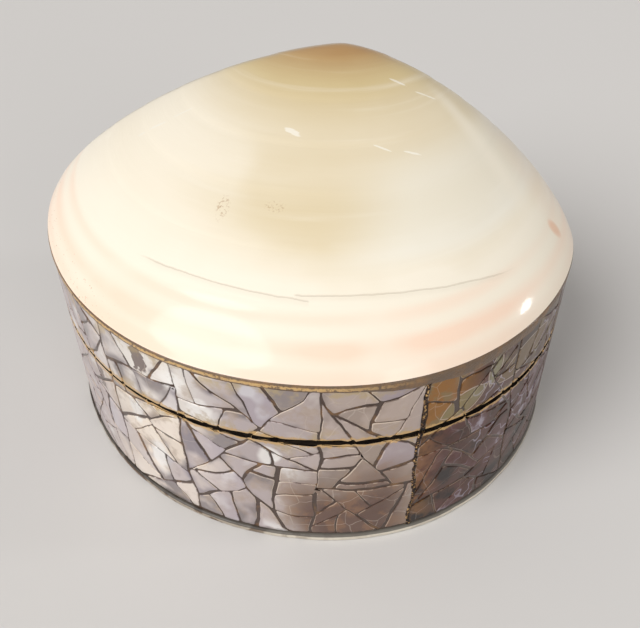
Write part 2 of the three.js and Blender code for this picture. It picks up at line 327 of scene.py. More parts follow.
class Shader:
    """One material's nodes."""

    def __init__(self, name):
        self.material = bpy.data.materials.new(name)
        self.material.use_nodes = True
        self.nodes = self.material.node_tree.nodes
        self.links = self.material.node_tree.links
        self.nodes.clear()

    def add(self, kind, settings=None, inputs=None, output=0):
        """Adds a node with its settings, then its sockets' values or links."""
        node = self.nodes.new(kind)
        for key, value in (settings or {}).items():
            setattr(node, key, value)
        for key, value in (inputs or {}).items():
            self.feed(node.inputs[key], value)
        return Signal(self, node.outputs[output]) if len(node.outputs) else None

    def feed(self, socket, value):
        if isinstance(value, Signal):
            self.links.new(value.socket, socket)
        elif socket.type == "RGBA":
            socket.default_value = opaque(value)
        else:
            socket.default_value = value

    def place(self):
        """Object coordinates in millimetres."""
        place = self.add("ShaderNodeTexCoord", output="Object")
        return self.add("ShaderNodeVectorMath", {"operation": "SCALE"}, {0: place, "Scale": 1 / MM})

    def layer(self, name):
        """The two numbers that a UV map of the piece carries."""
        return self.parts(self.add("ShaderNodeUVMap", {"uv_map": name}))[:2]

    def parts(self, vector):
        split = self.add("ShaderNodeSeparateXYZ", inputs={0: vector})
        outputs = split.socket.node.outputs
        return [Signal(self, outputs[i]) for i in range(3)]

    def vector(self, x, y, z):
        return self.add("ShaderNodeCombineXYZ", inputs={0: x, 1: y, 2: z})

    def noise(self, place, scale, detail=3.0, roughness=0.5, distortion=0.0):
        inputs = {
            "Vector": place,
            "Scale": scale,
            "Detail": detail,
            "Roughness": roughness,
            "Distortion": distortion,
        }
        return self.add("ShaderNodeTexNoise", inputs=inputs)

    def drifted(self, place, scale, reach):
        """A place moved about by noise, so that straight patterns wander."""
        drift = self.add("ShaderNodeTexNoise", {}, {"Vector": place, "Scale": scale}, output=1)
        inputs = {0: drift, 1: (reach,) * 3, 2: place}
        return self.add("ShaderNodeVectorMath", {"operation": "MULTIPLY_ADD"}, inputs)

    def mix(self, share, first, second, blend="MIX"):
        settings = {"data_type": "RGBA", "blend_type": blend, "clamp_factor": True}
        return self.add("ShaderNodeMix", settings, {0: share, 6: first, 7: second}, output=2)

    def ramp(self, share, stops):
        """A colour ramp through (place, colour) stops."""
        ramp = self.add("ShaderNodeValToRGB", inputs={0: share})
        elements = ramp.socket.node.color_ramp.elements
        while len(elements) < len(stops):
            elements.new(1.0)
        for element, (place, colour) in zip(elements, stops):
            element.position = place
            element.color = opaque(colour)
        return ramp

    def bump(self, height, depth, strength=1.0, normal=None):
        """Relief whose height signal of 0 to 1 is a depth in metres."""
        inputs = {"Height": height, "Distance": depth, "Strength": strength}
        if normal:
            inputs["Normal"] = normal
        return self.add("ShaderNodeBump", inputs=inputs)

    def surface(self, **sockets):
        """The Principled shader, by socket name with underscores for spaces."""
        inputs = {key.replace("_", " "): value for key, value in sockets.items()}
        surface = self.add("ShaderNodeBsdfPrincipled", inputs=inputs)
        self.add("ShaderNodeOutputMaterial", inputs={"Surface": surface})
        return self.material


def opaque(colour):
    return (*colour[:3], 1.0)


# Sizes and colours that a user would change


def size(name, description, default):
    return FloatProperty(
        name=name, description=description, default=default, min=0, unit="LENGTH", precision=5
    )


def colour(name, description, default):
    return FloatVectorProperty(
        name=name, description=description, default=default, subtype="COLOR", min=0, max=1, size=3
    )


class ShellBoxSizes(bpy.types.PropertyGroup):
    """Sizes of the box's fine detail."""

    growth_step: size("Growth step", "Height of a main growth line", 0.16 * MM)
    shard_area_side: size("Shard size", "Side of the largest fine shard", 7.4 * MM)
    shard_thickness: size("Shard thickness", "Thickness of a mosaic shard", 1.0 * MM)
    shard_edge: size("Shard edge", "Width of a shard's worn edge", 0.15 * MM)
    shard_corner: size("Shard corner", "Reach of a shard's worn corners", 0.4 * MM)
    joint_width: size("Joint width", "Width of the joints between shards", 0.4 * MM)
    joint_depth: size("Joint depth", "Depth of the joints between shards", 0.2 * MM)
    bead_bulge: size("Bead bulge", "How far the resin bead stands proud", 0.22 * MM)


class ShellBoxColours(bpy.types.PropertyGroup):
    """Colours of the box's materials."""

    umbo: colour("Umbo", "Shell at the oldest, highest part", (0.43, 0.245, 0.09))
    shell_tan: colour("Tan", "Shell of the middle bands", (0.62, 0.49, 0.26))
    shell_ivory: colour("Ivory", "Shell of the younger bands", (0.86, 0.79, 0.66))
    shell_peach: colour("Peach", "Shell of the faint peach bands", (0.88, 0.62, 0.47))
    # The grey of the steep back slope is painted shade, where the valve faces away from the light
    shell_back_shade: colour("Grey", "Shell of the steep back slope", (0.42, 0.36, 0.27))
    pearl: colour("Pearl", "The common mosaic shard", (0.49, 0.42, 0.42))
    pearl_light: colour("Pale pearl", "The brightest mosaic shards", (0.78, 0.75, 0.74))
    pearl_warm: colour("Warm pearl", "Shards with a warm cast", (0.44, 0.33, 0.25))
    dark_shard: colour("Dark shard", "Shards right of the dark joint", (0.065, 0.024, 0.015))
    green_shard: colour("Green shard", "Greenish shards right of the dark joint", (0.2, 0.17, 0.09))
    amber: colour("Amber", "Resin stains and the amber shards", (0.34, 0.16, 0.04))
    joint: colour("Joint", "Resin in the joints", (0.052, 0.026, 0.016))
    gold: colour("Gold", "Resin along the seam and under the valve", (0.6, 0.38, 0.15))
    # This near black is painted shade: in the seam's gap, at the wall's foot and on the base's edge
    # under the wall
    painted_shade: colour("Grime", "Dirt on the sawn faces", (0.01, 0.007, 0.006))
    cream_resin: colour("Cream resin", "The resin of the walls", (0.62, 0.5, 0.3))
    brown_resin: colour("Brown resin", "The bead under the valve", (0.13, 0.08, 0.045))
    base: colour("Base", "The base plate", (0.66, 0.6, 0.5))
    floor: colour("Floor", "The floor of the stage", (0.62, 0.6, 0.58))


# The valve

# Tints of single places on the valve
SHELL_CHALK = (0.86, 0.85, 0.79)
SHELL_INSIDE = (0.8, 0.75, 0.68)
CRACK_BROWN = (0.42, 0.34, 0.25)
# The white of the painted glints
GLINT_WHITE = (0.95, 0.93, 0.87)
ORANGE_SPOT = (0.76, 0.38, 0.2)

# Lines cracked across the growth near the front: middle, bow, and where each starts and ends
SHELL_CRACKS = (
    (-20, 2e-5, (-37, -30, 2.4, 3)),
    (8, 2.6e-5, (-0.4, 0.4, 40, 49)),
)

# Painted glints, white strokes where chips and facets in the polish catch the light: middle, half
# lengths, lean
SHELL_GLINTS = (
    ((-0.8, -4.2), (2.0, 0.7), -0.5),
    ((16.3, -6.3), (1.8, 0.22), -0.25),
    ((21.8, -5.9), (1.6, 0.28), 0.05),
    ((17.6, 13.8), (1.9, 0.35), -0.35),
    ((23.4, 11.9), (2.2, 0.3), -0.1),
    ((-29.5, 3.5), (1.8, 0.25), 0.25),
    ((-32.6, 2.5), (0.9, 0.2), 0.35),
    ((-24.6, 5.6), (2.2, 0.16), 0.4),
)


class Dome:
    """Heights of the valve over its plan, from the way from its umbo to its margin."""

    def __init__(self, inset, rise):
        self.rise = rise
        reaches = []
        for point, out in zip(OUTLINE.points, OUTLINE.outward):
            way = point - out * inset - UMBO
            reaches.append((math.atan2(way.y, way.x), way.length))
        reaches.sort()
        self.angles = [angle for angle, _ in reaches]
        self.reaches = [reach for _, reach in reaches]

    def height(self, place):
        way = place - UMBO
        angle = math.atan2(way.y, way.x)
        i = bisect.bisect_left(self.angles, angle) % len(self.angles)
        span = (self.angles[i] - self.angles[i - 1]) % math.tau
        share = ((angle - self.angles[i - 1]) % math.tau) / span
        reach = self.reaches[i - 1] + (self.reaches[i] - self.reaches[i - 1]) * share
        fall = (way.length / reach) ** DOME_FULLNESS
        return self.rise * max(0.0, 1 - fall) ** DOME_SHOULDER


def growth_sink(share, step):
    """How far the surface lies under the dome: each band swells and ends in a small step."""
    band = share ** (1 / GROWTH_BUNCHING) * GROWTH_LINES
    within = band % 1
    return step * (1 - within) ** 1.5 * min(1.0, within / 0.12)


class SHELLBOX_OT_valve(bpy.types.Operator):
    """Model the polished valve with its growth bands, margin and hollow"""

    bl_idname = "shellbox.valve"
    bl_label = "Shell Valve"

    def execute(self, context):
        sizes = context.scene.shell_box_sizes
        start_fresh()
        rings = VALVE_RINGS + INSIDE_RINGS
        bpy.ops.mesh.primitive_uv_sphere_add(segments=VALVE_SEGMENTS, ring_count=rings, radius=1)
        valve = bpy.context.object
        outer = Dome(0, VALVE_RISE)
        inner = Dome(VALVE_THICKNESS, VALVE_RISE - VALVE_THICKNESS)
        core = Vector((UMBO.x, UMBO.y, 0))
        shares = []
        turns = []
        for vertex in valve.data.vertices:
            ring = round(math.acos(max(-1.0, min(1.0, vertex.co.z))) / math.pi * rings)
            turn = math.atan2(vertex.co.y, vertex.co.x) / math.tau
            outside = ring <= VALVE_RINGS
            dome = outer if outside else inner
            if outside:
                share = (ring / VALVE_RINGS) ** GROWTH_BUNCHING
            else:
                share = ((rings - ring) / (INSIDE_RINGS - 1)) ** GROWTH_BUNCHING
            corner, out = OUTLINE.at(turn * OUTLINE.round)
            margin = corner if outside else corner - out * VALVE_THICKNESS
            plan = BEAK.lerp(margin, share)
            height = LIP_LIFT if share == 1 else dome.height(plan)
            place = Vector((plan.x, plan.y, height))
            if outside:
                local = (margin - BEAK).length / DEPTH
                sink = growth_sink(share, sizes.growth_step) * local
                place = place.lerp(core, sink / (place - core).length)
            shares.append(share if outside else 1 + share)
            turns.append(turn)
            vertex.co = place + Vector((0, 0, MARGIN_HEIGHT))
        layer = valve.data.uv_layers.active
        layer.name = "growth"
        for face in valve.data.polygons:
            corners = [valve.data.loops[i].vertex_index for i in face.loop_indices]
            spread = [turns[i] for i in corners if 0 < shares[i] != 1]
            behind = max(spread) - min(spread) > 0.5
            for i, corner in zip(face.loop_indices, corners):
                turn = turns[corner] + (1 if behind and turns[corner] < 0 else 0)
                layer.data[i].uv = (turn, shares[corner])
        recalculate_normals()
        finish_piece(valve, "polished_valve", polished_shell(context), smooth=50)
        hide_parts("shell_valve")
        return {"FINISHED"}


def polished_shell(context):
    """Polished ivory shell: tan at the umbo, white and peach bands along the growth lines."""
    colours = context.scene.shell_box_colours
    shader = Shader("polished_shell")
    place = shader.place()
    x, y, _ = shader.parts(place)
    turn, growth = shader.layer("growth")
    around = turn * (OUTLINE.round / MM)
    cloud = shader.noise(place, 0.04, detail=3, roughness=0.5)
    flow = shader.vector(x * 0.014, y * 0.014, growth * 22)
    streaks = shader.noise(flow, 1.0, detail=4, roughness=0.6)
    fine = shader.noise(shader.vector(x * 0.03, y * 0.03, growth * 110), 1.0, detail=3)
    ivory = colours.shell_ivory
    tan = colours.shell_tan
    peach = colours.shell_peach
    band = growth + (cloud - 0.5) * 0.14 + (streaks - 0.5) * 0.05
    warm = tuple(0.6 * a + 0.4 * b for a, b in zip(tan, ivory))
    paler = tuple(0.3 * a + 0.7 * b for a, b in zip(tan, ivory))
    stops = [
        (0.2, colours.umbo),
        (0.36, tan),
        (0.5, warm),
        (0.62, paler),
        (0.72, warm),
        (0.76, warm),
        (0.81, paler),
        (0.87, ivory),
    ]
    base = shader.ramp(band, stops)
    # The left part turns paler ivory: painted light from the left, laid over the shell's own ivory
    left = (x + (streaks - 0.5) * 24).step(6, -26) * 0.85
    base = shader.mix(left * growth.step(0.3, 0.6), base, ivory)
    edge_of_tongue = (x - (cloud - 0.5) * 14 + 7).step(-3.5, 3.5) * growth.step(0.5, 0.6)
    base = shader.mix(edge_of_tongue * growth.step(0.78, 0.7) * 0.3, base, tan)
    lines = growth + (streaks - 0.5) * 0.014
    first = abs(lines - 0.91).step(0.02, 0.0) * 0.5
    second = abs(lines - 0.958).step(0.024, 0.0) * (0.7 + x.step(0, 14) * 0.5)
    lip = growth.step(0.965, 0.995) * 0.7
    front_left = around.between(-50, -32, -16, -4)
    front = growth.step(0.88, 0.95) * (0.12 + front_left * 0.4)
    chalky = around.between(34, 56, 90, 110)
    peaches = ((first + second + lip) * cloud.step(0.2, 0.5) + front) * (1 - chalky * 0.65)
    base = shader.mix(peaches.lowest(1.0) * 0.75, base, peach)
    base = shader.mix(streaks.step(0.55, 0.75) * 0.3, base, ivory)
    # Slopes that face backwards turn grey by their normal: painted shade, where the light from the
    # front does not reach
    normal = shader.add("ShaderNodeNewGeometry", output="Normal")
    facing = shader.parts(normal)
    back_slope_shade = (facing[1] * 1.2 - facing[0] * 0.3 + (cloud - 0.5) * 0.1).step(0.18, 0.44)
    base = shader.mix(back_slope_shade * 0.65, base, colours.shell_back_shade)
    young = (growth + (cloud - 0.5) * 0.05).step(0.85, 0.8)
    tongue = young * x.step(6, 24) * growth.step(0.54, 0.68)
    base = shader.mix(tongue * 0.5, base, SHELL_CHALK)
    ridge = abs(around - 60).step(6, 0) * growth.between(0.4, 0.55, 0.85, 0.95)
    flank = around.between(62, 70, 90, 112) * growth.step(0.55, 0.8)
    base = shader.mix(ridge * 0.55, base, ivory)
    base = shader.mix(flank * 0.15, base, peach)

    wander = (shader.noise(place, 0.11, detail=4, roughness=0.6) - 0.5) * 0.01
    crack = 0
    soft = 0
    for middle, bow, reach in SHELL_CRACKS:
        run = around.between(*reach)
        beyond = growth - ((around - middle).squared() * bow + 0.87) - wander
        crack = (abs(beyond).step(0.0018, 0.0006) * run).highest(crack)
        soft = (abs(beyond - 0.004).step(0.009, 0.0) * run).highest(soft)
    # The crack's own brown line, and beside it a soft band of painted shade
    base = shader.mix(crack * 0.3 + soft * 0.08, base, CRACK_BROWN)

    # White strokes painted over the polish: painted glints, where the polish is also made smoother
    painted_glints = 0
    for (mid_x, mid_y), (half_long, half_wide), lean in SHELL_GLINTS:
        across = x - mid_x
        up = y - mid_y
        along = (across * math.cos(lean) + up * math.sin(lean)) * (1 / half_long)
        side = (up * math.cos(lean) - across * math.sin(lean)) * (1 / half_wide)
        spot = along.squared() + side.squared() + (fine - 0.5) * 2.4
        painted_glints = spot.step(1.0, 0.6) * growth.step(1.0, 0.99) + painted_glints
    base = shader.mix(painted_glints * 0.5, base, GLINT_WHITE)

    specks = shader.noise(place, 1.9, detail=2, roughness=0.7)
    tall = ((x + 11).squared() * 1.8 + (y + 21).squared() * 0.4).step(4, 0.6)
    wide = ((x + 1.5).squared() * 0.7 + (y + 21).squared() * 1.6).step(4, 0.6)
    rim = growth.step(0.95, 0.975) * around.step(-30, -46) * specks.step(0.66, 0.7)
    marks = specks.step(0.55, 0.6) * (tall * 0.8 + wide * 0.55) + rim
    base = shader.mix(marks * 0.6, base, colours.amber)
    orange = ((x - 49.9).squared() + (y + 6.6).squared()).step(3.4, 0.2)
    base = shader.mix(orange * 0.55, base, ORANGE_SPOT)
    base = shader.mix(growth.step(1.01, 1.03), base, SHELL_INSIDE)
    grain = shader.bump(fine * 0.5 + streaks, 0.1 * MM, 0.5)
    cut = shader.bump(1 - crack, 0.05 * MM, 1.0, grain)
    return shader.surface(
        Base_Color=base,
        Roughness=0.34 + cloud.step(0.3, 0.8) * 0.12 - painted_glints * 0.1,
        Normal=cut,
        Coat_Weight=0.3,
        Coat_Roughness=0.1,
        Specular_IOR_Level=0.2,
    )


# The mosaic


def random_numbers(seed):
    """The same stream of random numbers that the CAD model draws."""
    modulus = 2147483647
    factor = 48271
    state = seed
    while True:
        state = state * factor % modulus
        yield state / modulus


def either_way(random, reach):
    """The next number, spread from -reach to reach."""
    return (2 * next(random) - 1) * reach


def shard_area(shard):
    return abs(sum(a.cross(b) for a, b in zip(shard, shard[1:] + shard[:1]))) / 2


def longest_way(shard):
    longest = Vector((0, 0))
    for a in shard:
        for b in shard:
            way = b - a
            if way.x >= 0 and way.length > longest.length:
                longest = way
    return longest


def crack_across(shard, through, way):
    """Cuts a shard in two along a line."""
    halves = ([], [])
    for point, after in zip(shard, shard[1:] + shard[:1]):
        here = way.cross(point - through)
        there = way.cross(after - through)
        halves[0 if here > 0 else 1].append(point)
        if (here > 0) != (there > 0):
            crossing = point.lerp(after, here / (here - there))
            halves[0].append(crossing)
            halves[1].append(crossing)
    return halves


def cracked(shards, largest, random, tilt, offset):
    """Cracks shards until none is larger than an area, and gives them all."""
    settled = []
    while shards:
        settled += [shard for shard in shards if shard_area(shard) <= largest]
        smaller = []
        for shard in (shard for shard in shards if shard_area(shard) > largest):
            long = longest_way(shard)
            turn = math.pi / 2 + either_way(random, tilt)
            middle = sum(shard, Vector((0, 0))) / len(shard)
            through = middle + long * either_way(random, offset)
            way = long.normalized()
            way.rotate(Matrix.Rotation(turn, 2))
            smaller += crack_across(shard, through, way)
        shards = smaller
    return settled


def mosaic_leaves(random):
    """The leaves of shell between the upright joints, in millimetres on the unrolled wall."""
    wall_round = OUTLINE.round / MM
    bottom = TRAY_LOW.z / MM
    top = MOSAIC_HIGH.z / MM
    count = round(wall_round / LEAF_WIDTH)
    pitch = wall_round / count
    joints = []
    for i in range(count):
        shift = either_way(random, LEAF_JITTER * pitch)
        lean = either_way(random, LEAF_JITTER * pitch)
        if i == 0:
            shift, lean = 0, DARK_JOINT_LEAN
        joints.append((DARK_JOINT_AT + i * pitch + shift, lean))
    leaves = []
    for i, (at, lean) in enumerate(joints):
        after, after_lean = joints[(i + 1) % count]
        after += wall_round if i == count - 1 else 0
        leaves.append(
            [
                Vector((at - lean / 2, bottom)),
                Vector((after - after_lean / 2, bottom)),
                Vector((after + after_lean / 2, top)),
                Vector((at + lean / 2, top)),
            ]
        )
    return leaves


def dark_joint_at(height):
    """Where the dark joint's middle is at a height, both in millimetres."""
    return DARK_JOINT_AT + (height - WALL_MIDDLE) * (DARK_JOINT_LEAN / WALL_HEIGHT)


def side_insets(shard, joint, random):
    """Half the joint at each side: mostly a hairline, and wide along the dark joint."""
    insets = []
    for a, b in zip(shard, shard[1:] + shard[:1]):
        middle = (a + b) / 2
        upright = abs(b.y - a.y) > 3 * abs(b.x - a.x)
        dark = upright and abs(middle.x - dark_joint_at(middle.y)) < 0.6
        insets.append(DARK_JOINT_HALF if dark else joint * (0.22 + 1.1 * next(random) ** 2))
    return insets


def shrunk(shard, insets):
    """A convex shard with each side moved in, or nothing where it is too small for that."""
    lines = []
    for a, b, inset in zip(shard, shard[1:] + shard[:1], insets):
        along = b - a
        if along.length < 2 * inset:
            continue
        along.normalize()
        lines.append((a + Vector((-along.y, along.x)) * inset, along))
    corners = []
    for (a, way), (b, other) in zip(lines, lines[1:] + lines[:1]):
        turn = way.cross(other)
        if abs(turn) < 0.02:
            continue
        corners.append(a + way * ((b - a).cross(other) / turn))
    if len(corners) < 3:
        return []
    return corners


def shard_sheets(shards, random, joint):
    """One flat face for each shard, joined into one mesh that carries each shard's own numbers,
    and the shards' outlines."""
    start_fresh()
    sheets = []
    outlines = []
    for shard in shards:
        insets = side_insets(shard, joint / MM, random)
        tones = (next(random), next(random), next(random), next(random))
        corners = shrunk(shard, insets)
        if len(corners) < 3 or shard_area(corners) < SMALLEST_SHARD:
            continue
        bpy.ops.mesh.primitive_circle_add(
            vertices=len(corners), fill_type="NGON", calc_uvs=False
        )
        sheet = bpy.context.object
        for vertex, corner in zip(sheet.data.vertices, corners):
            vertex.co = Vector((corner.x * MM, 0, corner.y * MM))
        number = (len(outlines), 0)
        for name, pair in zip(SHARD_LAYERS, (tones[:2], tones[2:], (0, 0), number)):
            layer = sheet.data.uv_layers.new(name=name)
            for loop in layer.data:
                loop.uv = pair
        sheets.append(sheet)
        outlines.append(corners)
    for sheet in sheets:
        sheet.select_set(True)
    bpy.ops.object.join()
    return bpy.context.object, outlines


def cut_along(axis, marks):
    """Cuts the mesh in edit mode by planes across one axis."""
    normal = [0, 0, 0]
    normal[axis] = 1
    for mark in marks:
        bpy.ops.mesh.select_all(action="SELECT")
        point = [0, 0, 0]
        point[axis] = mark
        bpy.ops.mesh.bisect(plane_co=point, plane_no=normal)


def warp(place):
    """Makes straight cracks wander a little, except at the wall's lower and upper edge."""
    from_edge = min(place.z - TRAY_LOW.z, MOSAIC_HIGH.z - place.z)
    fade = min(1.0, max(0.0, from_edge / (1.5 * MM)))
    spot = on_wall(place.x, 0, place.z) / MM
    drift = noise.noise_vector(spot * 0.13) * 1.1 + noise.noise_vector(spot * 0.5) * 0.3
    return Vector((place.x + drift.x * MM, place.y, place.z + drift.z * MM * fade))


def wrapped(piece):
    """Wraps a flat sheet of shards round the wall and keeps its flat place as a UV map."""
    layer = piece.data.uv_layers["wall"]
    flat = [vertex.co.copy() for vertex in piece.data.vertices]
    for face in piece.data.polygons:
        back = OUTLINE.round if face.center.x > OUTLINE.round / 2 else 0
        for i in face.loop_indices:
            place = flat[piece.data.loops[i].vertex_index]
            layer.data[i].uv = (place.x - back, place.z)
    for vertex, place in zip(piece.data.vertices, flat):
        vertex.co = on_wall(place.x, place.y, place.z)


def mark_borders(sheet, outlines, fall):
    """Writes for each point how far down its shard's edge it is, and how near the border."""
    layer = sheet.data.uv_layers["shard_edge"].data
    for loop in sheet.data.loops:
        place = sheet.data.vertices[loop.vertex_index].co
        spot = Vector((place.x, place.z)) / MM
        outline = outlines[round(layer[loop.index].uv.x)]
        away = BORDER_REACH
        for a, b in zip(outline, outline[1:] + outline[:1]):
            away = min(away, abs((b - a).cross(spot - a)) / (b - a).length)
        layer[loop.index].uv = (min(1.0, place.y / fall), 1 - away / BORDER_REACH)


def saw_chip(distance):
    """How far the seam's lips are chipped back, most at the front where the box is opened."""
    spot = on_wall(distance, 0, TRAY_HIGH.z) / MM
    around = (distance / MM + 90) % (OUTLINE.round / MM) - 90
    worn = max(0.0, min(1.0, (around + 34) / 24, (72 - around) / 14))
    rough = 1 + 0.9 * noise.noise(spot * 0.3) + 0.8 * noise.noise(spot * 1.4)
    return (SEAM_WEAR + SEAM_CHIP * max(0.1, rough)) * (0.25 + 0.75 * worn)


def sawn(sheet, height, keep_above):
    """A copy of the flat mosaic on one side of a level saw cut."""
    start_fresh()
    piece = sheet.copy()
    piece.data = sheet.data.copy()
    bpy.context.collection.objects.link(piece)
    piece.select_set(True)
    bpy.context.view_layer.objects.active = piece
    edit_all()
    bpy.ops.mesh.bisect(
        plane_co=(0, 0, height),
        plane_no=(0, 0, 1),
        use_fill=True,
        clear_inner=keep_above,
        clear_outer=not keep_above,
    )
    bpy.ops.object.mode_set(mode="OBJECT")
    for vertex in piece.data.vertices:
        away = abs(vertex.co.z - height) / SEAM_FADE
        lift = saw_chip(vertex.co.x) * max(0.0, 1 - away)
        vertex.co.z += lift if keep_above else -lift
        from_top = (MOSAIC_HIGH.z - vertex.co.z) / LID_STRETCH
        vertex.co.z += (LID_TOP - MOSAIC_HIGH.z) * max(0.0, 1 - from_top)
    return piece


class SHELLBOX_OT_mosaic(bpy.types.Operator):
    """Crack the mosaic into shards, saw it open at the seam and wrap it round the wall"""

    bl_idname = "shellbox.mosaic"
    bl_label = "Mosaic Shards"

    def execute(self, context):
        sizes = context.scene.shell_box_sizes
        random = random_numbers(CRACK_SEED)
        coarse = cracked(mosaic_leaves(random), COARSE_AREA, random, CRACK_TILT, CRACK_OFFSET)
        largest = (sizes.shard_area_side / MM) ** 2
        shards = cracked(coarse, largest, random, CRACK_TILT * 1.1, CRACK_OFFSET)
        sheet, outlines = shard_sheets(shards, random, sizes.joint_width)
        for vertex in sheet.data.vertices:
            vertex.co.y = sizes.shard_thickness
        edit_all()
        bpy.ops.mesh.bevel(offset=sizes.shard_corner, segments=2, affect="VERTICES")
        bpy.ops.mesh.select_mode(type="FACE")
        bpy.ops.mesh.select_all(action="SELECT")
        edge = sizes.shard_edge
        fall = edge * 0.6
        lift = {"value": (0, fall - sizes.shard_thickness, 0)}
        bpy.ops.mesh.extrude_region_move(TRANSFORM_OT_translate=lift)
        bpy.ops.mesh.inset(thickness=edge, use_individual=True)
        bpy.ops.transform.translate(value=(0, -fall, 0))
        start = min(vertex.x for shard in shards for vertex in shard) * MM
        across = range(1, int(OUTLINE.round * 1.05 / SHARD_STEP))
        up = range(1, int(MOSAIC_HIGH.z / SHARD_STEP))
        columns = [start + SHARD_STEP * i for i in across]
        rows = [TRAY_LOW.z + SHARD_STEP * i for i in up]
        cut_along(0, columns)
        cut_along(2, rows)
        bpy.ops.object.mode_set(mode="OBJECT")
        mark_borders(sheet, outlines, fall)
        for vertex in sheet.data.vertices:
            vertex.co = warp(vertex.co)
        material = pearl_shards(context)
        for name, node, height, above in (
            ("tray_shards", "tray_mosaic", TRAY_HIGH.z, False),
            ("lid_shards", "lid_mosaic", MOSAIC_LOW.z, True),
        ):
            piece = sawn(sheet, height, above)
            wrapped(piece)
            recalculate_normals()
            finish_piece(piece, name, material, smooth=25)
            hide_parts(node)
        bpy.data.objects.remove(sheet)
        self.joints(context)
        return {"FINISHED"}

    def joints(self, context):
        """The dark resin that the shards are set in, seen in the joints."""
        sizes = context.scene.shell_box_sizes
        material = joint_resin(context)
        inner = sizes.shard_thickness + 0.2 * MM
        outer = sizes.joint_depth

        def tray_section(distance):
            low = TRAY_LOW.z
            high = TRAY_HIGH.z - saw_chip(distance)
            return [(outer, low), (outer, high), (inner, high), (inner, low)]

        def lid_section(distance):
            low = MOSAIC_LOW.z + saw_chip(distance)
            high = LID_TOP
            return [(outer, low), (outer, high), (inner, high), (inner, low)]

        for name, section in (("tray_joints", tray_section), ("lid_joints", lid_section)):
            ring = swept_ring(section, True)
            recalculate_normals()
            finish_piece(ring, name, material)


class SHELLBOX_OT_dark_joint(bpy.types.Operator):
    """Fill the wide joint at the right of the front with crumbled resin"""

    bl_idname = "shellbox.dark_joint"
    bl_label = "Dark Joint"

    def execute(self, context):
        material = crumbled_resin(context)
        for name, low, high, lips in (
            ("tray_dark_joint", TRAY_LOW.z, TRAY_HIGH.z, -1),
            ("lid_dark_joint", MOSAIC_LOW.z, LID_TOP, 1),
        ):
            start_fresh()
            steps = round((high - low) / CRUMB_STEP)
            bpy.ops.mesh.primitive_grid_add(x_subdivisions=8, y_subdivisions=steps, size=2)
            strip = bpy.context.object
            for vertex in strip.data.vertices:
                across = vertex.co.x
                height = low + (high - low) * (vertex.co.y + 1) / 2
                centre = dark_joint_at(height / MM) * MM
                place = warp(Vector((centre + across * 1.15 * DARK_JOINT_HALF * MM, 0, height)))
                spot = on_wall(place.x, 0, height) / MM
                crumbs = noise.noise(spot * 1.6) * 0.5 + noise.noise(spot * 3.7) * 0.3
                place.y = (0.16 - (0.26 + 0.5 * crumbs) * (1 - across**2)) * MM
                lift = saw_chip(place.x) if abs(vertex.co.y - -lips) < 0.01 else 0
                vertex.co = on_wall(place.x, place.y, height + lips * lift)
            edit_all()
            bpy.ops.mesh.extrude_region_move(TRANSFORM_OT_translate={"value": (0, 0.4 * MM, 0)})
            bpy.ops.object.mode_set(mode="OBJECT")
            recalculate_normals()
            finish_piece(strip, name, material, smooth=60)
        return {"FINISHED"}


CRUMB_BLACK = (0.008, 0.005, 0.004)
CRUMB_BROWN = (0.08, 0.035, 0.016)


def crumbled_resin(context):
    """Dark resin full of brown and gold crumbs."""
    colours = context.scene.shell_box_colours
    shader = Shader("crumbled_resin")
    place = shader.place()
    crumbs = shader.noise(place, 1.9, detail=3, roughness=0.7)
    fine = shader.noise(place, 5, detail=2)
    base = shader.mix(crumbs.step(0.44, 0.55), CRUMB_BLACK, CRUMB_BROWN)
    base = shader.mix(crumbs.step(0.57, 0.62), base, colours.gold)
    return shader.surface(
        Base_Color=base,
        Roughness=0.3 + fine * 0.4,
        Normal=shader.bump(fine, 0.25 * MM, 1.0),
        Specular_IOR_Level=0.3,
    )


def seam_stain(height, cloud):
    """Cream resin at both lips of the saw cut, uneven along the seam."""
    low = TRAY_HIGH.z / MM
    high = MOSAIC_LOW.z / MM
    gap = (low - height).highest(height - high)
    return (gap - (cloud - 0.5) * 2.2).step(1.15, 0.75)


def seam_gap_shade(shader, height):
    """The level faces that the saw has cut at the seam, which lie in the gap's shade: the mask of
    the painted shade that darkens the seam.
    """
    normal = shader.add("ShaderNodeNewGeometry", output="Normal")
    return abs(shader.parts(normal)[2]).step(0.6, 0.85) * abs(height - SEAM_MIDDLE).step(1.3, 1.1)


# Painted highlights where the nacre catches the light, on the unrolled wall: middle, half width and
# half height
NACRE_HIGHLIGHTS = (
    ((-33, 25), (2.2, 4.5)),
    ((-28, 14), (3.0, 6.0)),
    ((-17, 34), (3.4, 3.0)),
    ((-21.5, 38.8), (3.6, 2.8)),
    ((-4.0, 25.4), (2.8, 3.0)),
)

# Places where a shard is missing and the resin shows: middle, half width and half height
DARK_PATCHES = (
    ((-29.2, 40.6), (1.5, 2.7)),
    ((-44.0, 25.5), (1.2, 3.2)),
)

# Lens-shaped chips right of the dark joint: middle, half lengths, lean and tint
LEAF_CHIPS = (
    ((32.2, 34.3), (5.4, 2.8), 0.42, (0.24, 0.2, 0.1)),
    ((47.6, 37.2), (8.4, 3.3), 0.3, (0.2, 0.14, 0.08)),
    ((38.7, 39.3), (4.4, 1.5), 1.4, (0.27, 0.25, 0.15)),
)

# Tints of single places on the mosaic
# The creams of the left part's painted light and warm stain
CREAM_BELOW = (0.9, 0.79, 0.67)
CREAM_ABOVE = (0.86, 0.81, 0.75)
